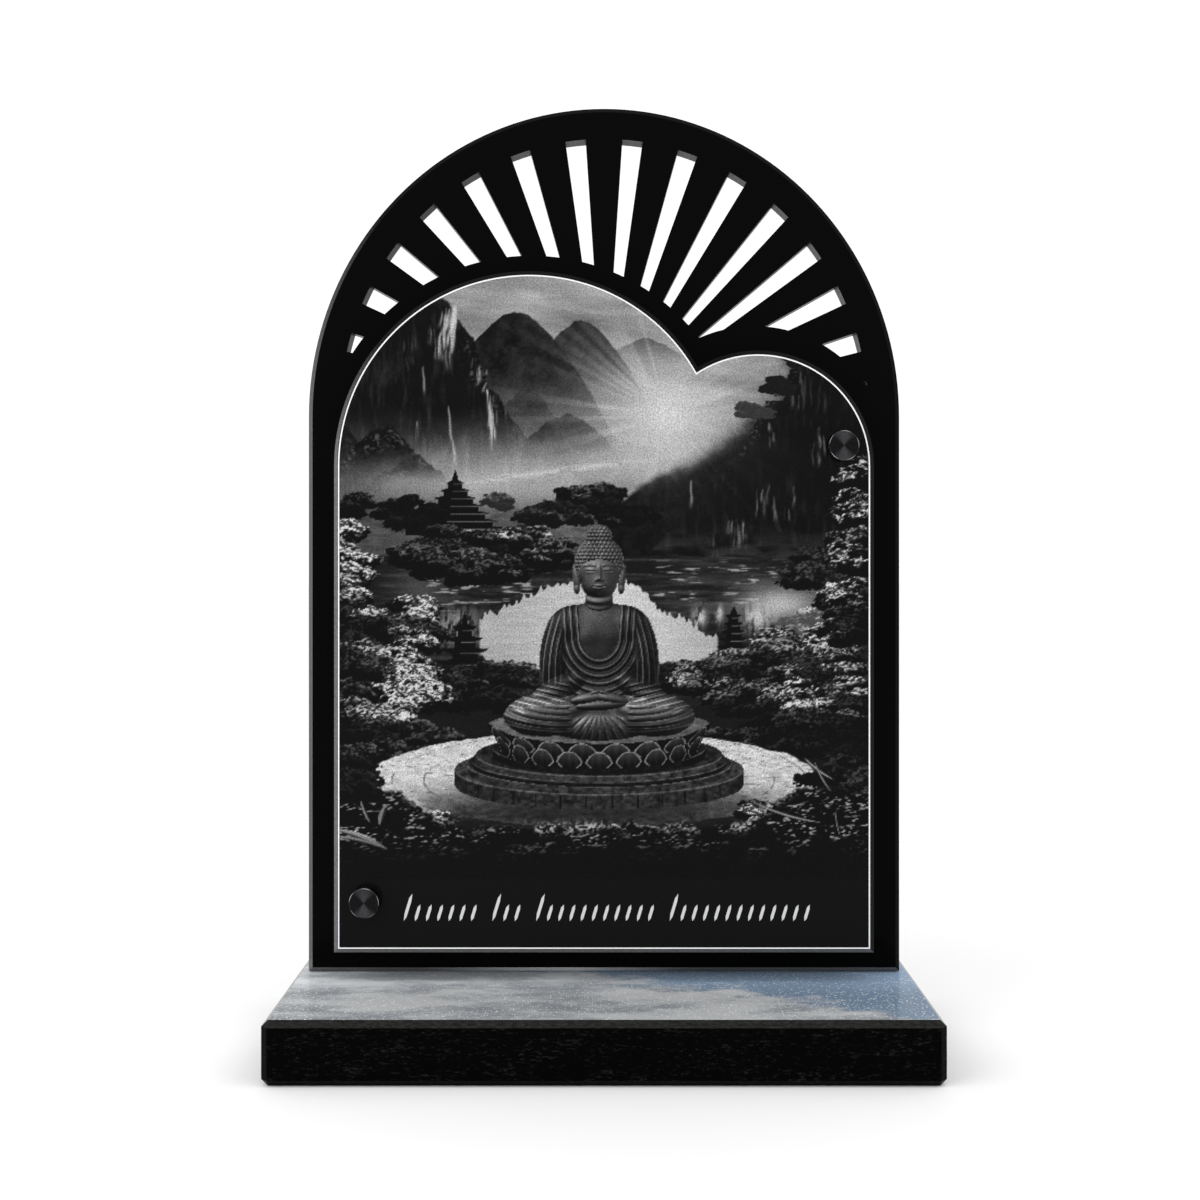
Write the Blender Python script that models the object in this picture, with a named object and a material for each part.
"""A small standing grave plaque.

A black plate with an arched top and a fan of ray slots stands on a granite foot. In front of it, on two
diagonal stand-offs, floats a second plate whose top is two unequal arcs that meet in a cusp. The front plate
carries an engraved border line and one row of shallow engraved strokes.

Metres, +Z up, the front towards -Y, the origin under the middle of the foot.
"""

import math

import bmesh
import bpy
from mathutils import Matrix, Vector

# Pieces that touch, and pins in their holes, keep this gap
JOINT = 0.0003

# Granite foot
FOOT_WIDTH = 0.2085
FOOT_DEPTH = 0.100
FOOT_HEIGHT = 0.020
FOOT_CHAMFER = 0.002

# Back plate: straight sides and a half-ellipse arch
BACK_WIDTH = 0.200
BACK_HEIGHT = 0.292
BACK_THICKNESS = 0.008
BACK_CHAMFER = 0.0015
ARCH_RISE = 0.1044
LEDGE_DEPTH = 0.058

# Ray slots, cut where the border and the front plate's surround leave room. RAY_SPREAD draws the even fan
# out sideways, and the surround's narrow arc is lifted by RAY_NARROW_RISE
RAYS_PER_SIDE = 8
RAY_PITCH_DEG = 11.22
RAY_SPREAD = 1.05
RAY_ANGLE_DEG = 4.2
RAY_BORDER = 0.0106
RAY_CLEARANCE = 0.0074
RAY_NARROW_RISE = 0.0024
RAY_ROOT_RADIUS = 0.010

# Front plate: a wide arc on the left and a narrow one on the right, each tangent to its side
FRONT_SIDE_MARGIN = 0.0109
FRONT_FOOT_MARGIN = 0.0097
FRONT_THICKNESS = 0.008
FRONT_CHAMFER = 0.0012
FRONT_SIDE_HEIGHT = 0.1604
WIDE_ARC_RADIUS = 0.0645
NARROW_ARC_RADIUS = 0.0383
PLATE_GAP = 0.006

# Engraving on the front plate
BORDER_LINE_WIDTH = 0.0005
BORDER_LINE_INSET = 0.0002
ENGRAVING_DEPTH = 0.0003
STROKE_WIDTH = 0.0011
STROKE_HEIGHT = 0.0056
TALL_STROKE_HEIGHT = 0.0092
STROKE_PITCH = 0.0037
STROKE_SLANT_DEG = 17.0
WORD_GAP = 0.0033
WORD_STROKES = (7, 3, 11, 13)
ROW_BASE_HEIGHT = 0.0105

# Stand-offs: a turned cap with its stud in front, a barrel between the plates
STUD_RADIUS = 0.0020
CAP_RADIUS = 0.0050
CAP_LENGTH = 0.0030
CAP_CHAMFER = 0.0005
COLLAR_RADIUS = 0.0041
COLLAR_LENGTH = 0.0020
STUD_REACH = 0.0030
BARREL_RADIUS = 0.0050
SPIGOT_RADIUS = 0.0025
SPIGOT_LENGTH = 0.0040
HOLE_BOTTOM = 0.0005
SCREW_SIDE_INSET = 0.0107
UPPER_SCREW_HEIGHT = 0.1670
LOWER_SCREW_HEIGHT = 0.0175

# Mesh fineness
ARC_STEP_DEG = 2.0
TURNED_SEGMENTS = 48

# Places that follow from the sizes
BACK_FACE_Y = -FOOT_DEPTH / 2 + LEDGE_DEPTH
BACK_REAR_Y = BACK_FACE_Y + BACK_THICKNESS
BACK_FOOT_Z = FOOT_HEIGHT + JOINT
ARCH_CENTRE_Z = BACK_FOOT_Z + BACK_HEIGHT - ARCH_RISE
FRONT_REAR_Y = BACK_FACE_Y - PLATE_GAP
FRONT_FACE_Y = FRONT_REAR_Y - FRONT_THICKNESS
FRONT_WIDTH = BACK_WIDTH - 2 * FRONT_SIDE_MARGIN
FRONT_FOOT_Z = BACK_FOOT_Z + FRONT_FOOT_MARGIN
FRONT_SPRING_Z = FRONT_FOOT_Z + FRONT_SIDE_HEIGHT
WIDE_ARC_X = -FRONT_WIDTH / 2 + WIDE_ARC_RADIUS
NARROW_ARC_X = FRONT_WIDTH / 2 - NARROW_ARC_RADIUS
SCREW_X = FRONT_WIDTH / 2 - SCREW_SIDE_INSET
SCREWS = {
    "upper": Vector((SCREW_X, 0, FRONT_FOOT_Z + UPPER_SCREW_HEIGHT)),
    "lower": Vector((-SCREW_X, 0, FRONT_FOOT_Z + LOWER_SCREW_HEIGHT)),
}
CUT_OVERSHOOT = 0.002


def arc(centre_x, centre_z, radius_x, radius_z, start_deg, end_deg):
    """Points (x, z) along an upright ellipse's arc, both ends included."""
    count = max(2, math.ceil(abs(end_deg - start_deg) / ARC_STEP_DEG))
    angles = [math.radians(start_deg + (end_deg - start_deg) * i / count) for i in range(count + 1)]
    return [(centre_x + radius_x * math.cos(t), centre_z + radius_z * math.sin(t)) for t in angles]


def back_outline(inset=0.0):
    """The arched plate's outline, drawn in by inset."""
    half = BACK_WIDTH / 2 - inset
    foot = BACK_FOOT_Z + inset
    return [(-half, foot), (half, foot)] + arc(0, ARCH_CENTRE_Z, half, ARCH_RISE - inset, 0, 180)


def front_outline(grow=0.0, narrow_rise=0.0):
    """The two-arc plate's outline, grown by grow, with the narrow arc lifted by narrow_rise. The arcs meet where
    their circles cross."""
    half = FRONT_WIDTH / 2 + grow
    foot = FRONT_FOOT_Z - grow
    wide = WIDE_ARC_RADIUS + grow
    narrow = NARROW_ARC_RADIUS + grow
    between = NARROW_ARC_X - WIDE_ARC_X
    apart = math.hypot(between, narrow_rise)
    tilt = math.atan2(narrow_rise, between)
    along = (apart**2 + wide**2 - narrow**2) / (2 * apart)
    up = math.sqrt(wide**2 - along**2)
    cusp_on_narrow = math.degrees(tilt + math.atan2(up, along - apart))
    cusp_on_wide = math.degrees(tilt + math.atan2(up, along))
    narrow_arc = arc(NARROW_ARC_X, FRONT_SPRING_Z + narrow_rise, narrow, narrow, 0, cusp_on_narrow)
    wide_arc = arc(WIDE_ARC_X, FRONT_SPRING_Z, wide, wide, cusp_on_wide, 180)
    return [(-half, foot), (half, foot)] + narrow_arc + wide_arc[1:]


def add_prism(bm, loop, near_y, far_y):
    """Adds a solid with the outline loop of (x, z) points, from near_y back to far_y."""
    near_face = bm.faces.new([bm.verts.new((x, near_y, z)) for x, z in loop])
    grown = bmesh.ops.extrude_face_region(bm, geom=[near_face])["geom"]
    far_verts = [item for item in grown if isinstance(item, bmesh.types.BMVert)]
    bmesh.ops.translate(bm, verts=far_verts, vec=(0, far_y - near_y, 0))


def chamfer_rims(bm, near_y, far_y, width):
    """Cuts a flat chamfer along every edge that lies in the near or the far face."""
    def lies_in(edge, y):
        return all(abs(vert.co.y - y) < 1e-6 for vert in edge.verts)

    rims = [edge for edge in bm.edges if lies_in(edge, near_y) or lies_in(edge, far_y)]
    bmesh.ops.bevel(bm, geom=rims, offset=width, segments=1, affect="EDGES", profile=0.5, material=-1)


def finish_object(name, bm, material=None, smooth=False):
    """Closes the bmesh into a named object in the scene."""
    bmesh.ops.recalc_face_normals(bm, faces=bm.faces)
    mesh = bpy.data.meshes.new(name)
    bm.to_mesh(mesh)
    bm.free()
    if smooth:
        mesh.shade_smooth()
        mesh.set_sharp_from_angle(angle=math.radians(30))
    obj = bpy.data.objects.new(name, mesh)
    bpy.context.scene.collection.objects.link(obj)
    if material is not None:
        mesh.materials.append(material)
    return obj


def make_cutter(name, bm):
    """An object that only cuts others, so it is drawn as wire and never rendered."""
    cutter = finish_object(name, bm)
    cutter.hide_render = True
    cutter.display_type = "WIRE"
    return cutter


def cut(obj, cutter, operation="DIFFERENCE"):
    """Puts a Boolean modifier on obj."""
    boolean = obj.modifiers.new(cutter.name, "BOOLEAN")
    boolean.operation = operation
    boolean.object = cutter
    boolean.solver = "EXACT"


def make_material(name, colour, roughness, metallic=0.0):
    """A plain Principled material."""
    material = bpy.data.materials.new(name)
    material.use_nodes = True
    shader = material.node_tree.nodes["Principled BSDF"]
    shader.inputs["Base Color"].default_value = (*colour, 1.0)
    shader.inputs["Roughness"].default_value = roughness
    shader.inputs["Metallic"].default_value = metallic
    return material


def turned_solid(bm, profile, place):
    """Adds a turned solid. The profile is (radius, y) points from axis to axis, turned about Y at place."""
    verts = [bm.verts.new((radius, y, 0)) for radius, y in profile]
    edges = [bm.edges.new(pair) for pair in zip(verts, verts[1:])]
    bmesh.ops.spin(
        bm,
        geom=verts + edges,
        cent=(0, 0, 0),
        axis=(0, 1, 0),
        angle=math.tau,
        steps=TURNED_SEGMENTS,
        use_merge=True,
    )
    bmesh.ops.remove_doubles(bm, verts=bm.verts, dist=1e-6)
    bmesh.ops.transform(bm, matrix=Matrix.Translation(place), verts=bm.verts)


def make_foot(granite):
    """The granite slab with every edge chamfered."""
    bm = bmesh.new()
    bmesh.ops.create_cube(bm, size=1.0)
    bmesh.ops.scale(bm, vec=(FOOT_WIDTH, FOOT_DEPTH, FOOT_HEIGHT), verts=bm.verts)
    bmesh.ops.translate(bm, vec=(0, 0, FOOT_HEIGHT / 2), verts=bm.verts)
    bmesh.ops.bevel(
        bm, geom=bm.edges[:], offset=FOOT_CHAMFER, segments=1, affect="EDGES", profile=0.5, material=-1
    )
    finish_object("base", bm, granite)


def make_ray_cutter():
    """Wedges that fan out from the arch's centre, trimmed by the border and the front plate's surround."""
    near = BACK_FACE_Y - CUT_OVERSHOOT
    far = BACK_REAR_Y + CUT_OVERSHOOT
    reach = BACK_WIDTH / 2 + ARCH_RISE
    half_angle = math.radians(RAY_ANGLE_DEG) / 2
    wedges = bmesh.new()
    for side in (-1, 1):
        for step in range(RAYS_PER_SIDE):
            even = math.radians((step + 0.5) * RAY_PITCH_DEG)
            middle = side * math.atan2(RAY_SPREAD * math.sin(even), math.cos(even))
            corners = [
                (RAY_ROOT_RADIUS, middle - half_angle),
                (reach, middle - half_angle),
                (reach, middle + half_angle),
                (RAY_ROOT_RADIUS, middle + half_angle),
            ]
            loop = [(r * math.sin(t), ARCH_CENTRE_Z + r * math.cos(t)) for r, t in corners]
            add_prism(wedges, loop, near, far)
    rays = make_cutter("ray_wedges", wedges)

    field = bmesh.new()
    add_prism(field, back_outline(RAY_BORDER), near - CUT_OVERSHOOT, far + CUT_OVERSHOOT)
    cut(rays, make_cutter("ray_field", field), "INTERSECT")

    surround = bmesh.new()
    add_prism(
        surround, front_outline(RAY_CLEARANCE, RAY_NARROW_RISE), near - CUT_OVERSHOOT, far + CUT_OVERSHOOT
    )
    cut(rays, make_cutter("front_plate_surround", surround))
    return rays


def make_holes(name, radius, near_y, far_y):
    """A cutter with one round hole for each stand-off."""
    bm = bmesh.new()
    for place in SCREWS.values():
        bmesh.ops.create_cone(
            bm,
            cap_ends=True,
            segments=TURNED_SEGMENTS,
            radius1=radius,
            radius2=radius,
            depth=far_y - near_y,
            matrix=Matrix.Translation((place.x, (near_y + far_y) / 2, place.z))
            @ Matrix.Rotation(math.radians(90), 4, "X"),
        )
    return make_cutter(name, bm)


def make_back_plate(acrylic):
    """The arched plate with its ray slots and two blind holes for the stand-offs' spigots."""
    bm = bmesh.new()
    add_prism(bm, back_outline(), BACK_FACE_Y, BACK_REAR_Y)
    chamfer_rims(bm, BACK_FACE_Y, BACK_REAR_Y, BACK_CHAMFER)
    plate = finish_object("back_plate", bm, acrylic)
    cut(plate, make_ray_cutter())
    hole_end = BACK_FACE_Y + SPIGOT_LENGTH + HOLE_BOTTOM
    cut(plate, make_holes("spigot_holes", SPIGOT_RADIUS + JOINT, BACK_FACE_Y - CUT_OVERSHOOT, hole_end))


def make_border_cutter():
    """A narrow band that follows the front plate's outline, just inside its chamfer."""
    near = FRONT_FACE_Y - CUT_OVERSHOOT
    far = FRONT_FACE_Y + ENGRAVING_DEPTH
    outer_inset = FRONT_CHAMFER + BORDER_LINE_INSET
    band = bmesh.new()
    add_prism(band, front_outline(-outer_inset), near, far)
    border = make_cutter("border_line", band)
    core = bmesh.new()
    add_prism(
        core, front_outline(-outer_inset - BORDER_LINE_WIDTH), near - CUT_OVERSHOOT, far + CUT_OVERSHOOT
    )
    cut(border, make_cutter("border_core", core))
    return border


def stroke_places():
    """(x, height) of each stroke along the row. The row is centred, and the first stroke of a word is tall."""
    spans = [(count - 1) * STROKE_PITCH for count in WORD_STROKES]
    gap = STROKE_PITCH + WORD_GAP
    x = -(sum(spans) + gap * (len(spans) - 1)) / 2
    places = []
    for count, span in zip(WORD_STROKES, spans):
        for step in range(count):
            height = TALL_STROKE_HEIGHT if step == 0 else STROKE_HEIGHT
            places.append((x + step * STROKE_PITCH, height))
        x += span + gap
    return places


def make_stroke_cutter():
    """Slanted, pointed pen strokes in one row, like writing seen from too far off to read."""
    near = FRONT_FACE_Y - CUT_OVERSHOOT
    far = FRONT_FACE_Y + ENGRAVING_DEPTH
    lean = math.tan(math.radians(STROKE_SLANT_DEG))
    row_z = FRONT_FOOT_Z + ROW_BASE_HEIGHT
    half = STROKE_WIDTH / 2
    bm = bmesh.new()
    for x, height in stroke_places():
        shape = [(0, 0), (half, 0.16), (half, 0.72), (0.2 * half, 1), (-half, 0.84), (-half, 0.28)]
        loop = [(x + dx + lean * share * height, row_z + share * height) for dx, share in shape]
        add_prism(bm, loop, near, far)
    return make_cutter("inscription_strokes", bm)


def make_front_plate(acrylic):
    """The two-arc plate with its engraving and the holes that the studs pass through."""
    bm = bmesh.new()
    add_prism(bm, front_outline(), FRONT_FACE_Y, FRONT_REAR_Y)
    chamfer_rims(bm, FRONT_FACE_Y, FRONT_REAR_Y, FRONT_CHAMFER)
    plate = finish_object("front_plate", bm, acrylic)
    cut(plate, make_border_cutter())
    cut(plate, make_stroke_cutter())
    near = FRONT_FACE_Y - CUT_OVERSHOOT
    far = FRONT_REAR_Y + CUT_OVERSHOOT
    cut(plate, make_holes("stud_holes", STUD_RADIUS + JOINT, near, far))


def make_standoff(level, place, anodised):
    """One stand-off: the cap, collar and stud turned in one, and the barrel with its rear spigot."""
    seat = FRONT_FACE_Y - JOINT
    shoulder = seat - COLLAR_LENGTH
    crown = shoulder - CAP_LENGTH
    barrel_near = FRONT_REAR_Y + JOINT
    barrel_far = BACK_FACE_Y - JOINT
    stud_end = FRONT_REAR_Y + STUD_REACH
    cap = bmesh.new()
    cap_profile = [
        (0, crown),
        (CAP_RADIUS - CAP_CHAMFER, crown),
        (CAP_RADIUS, crown + CAP_CHAMFER),
        (CAP_RADIUS, shoulder - CAP_CHAMFER),
        (CAP_RADIUS - CAP_CHAMFER, shoulder),
        (COLLAR_RADIUS, shoulder),
        (COLLAR_RADIUS, seat),
        (STUD_RADIUS, seat),
        (STUD_RADIUS, stud_end),
        (0, stud_end),
    ]
    turned_solid(cap, cap_profile, place)
    finish_object(f"standoff_cap_{level}", cap, anodised, smooth=True)

    barrel = bmesh.new()
    spigot_end = BACK_FACE_Y + SPIGOT_LENGTH
    barrel_profile = [
        (0, stud_end + HOLE_BOTTOM),
        (STUD_RADIUS + JOINT, stud_end + HOLE_BOTTOM),
        (STUD_RADIUS + JOINT, barrel_near),
        (BARREL_RADIUS, barrel_near),
        (BARREL_RADIUS, barrel_far),
        (SPIGOT_RADIUS, barrel_far),
        (SPIGOT_RADIUS, spigot_end),
        (0, spigot_end),
    ]
    turned_solid(barrel, barrel_profile, place)
    finish_object(f"standoff_barrel_{level}", barrel, anodised, smooth=True)


def main():
    """Clears the scene and builds the plaque."""
    for obj in list(bpy.data.objects):
        bpy.data.objects.remove(obj)
    granite = make_material("polished_black_granite", (0.012, 0.012, 0.013), 0.12)
    back_acrylic = make_material("gloss_black_acrylic", (0.006, 0.006, 0.006), 0.10)
    front_acrylic = make_material("engraved_black_acrylic", (0.010, 0.010, 0.010), 0.22)
    anodised = make_material("black_anodised_aluminium", (0.035, 0.035, 0.036), 0.35, 1.0)
    make_foot(granite)
    make_back_plate(back_acrylic)
    make_front_plate(front_acrylic)
    for level, place in SCREWS.items():
        make_standoff(level, place, anodised)


main()
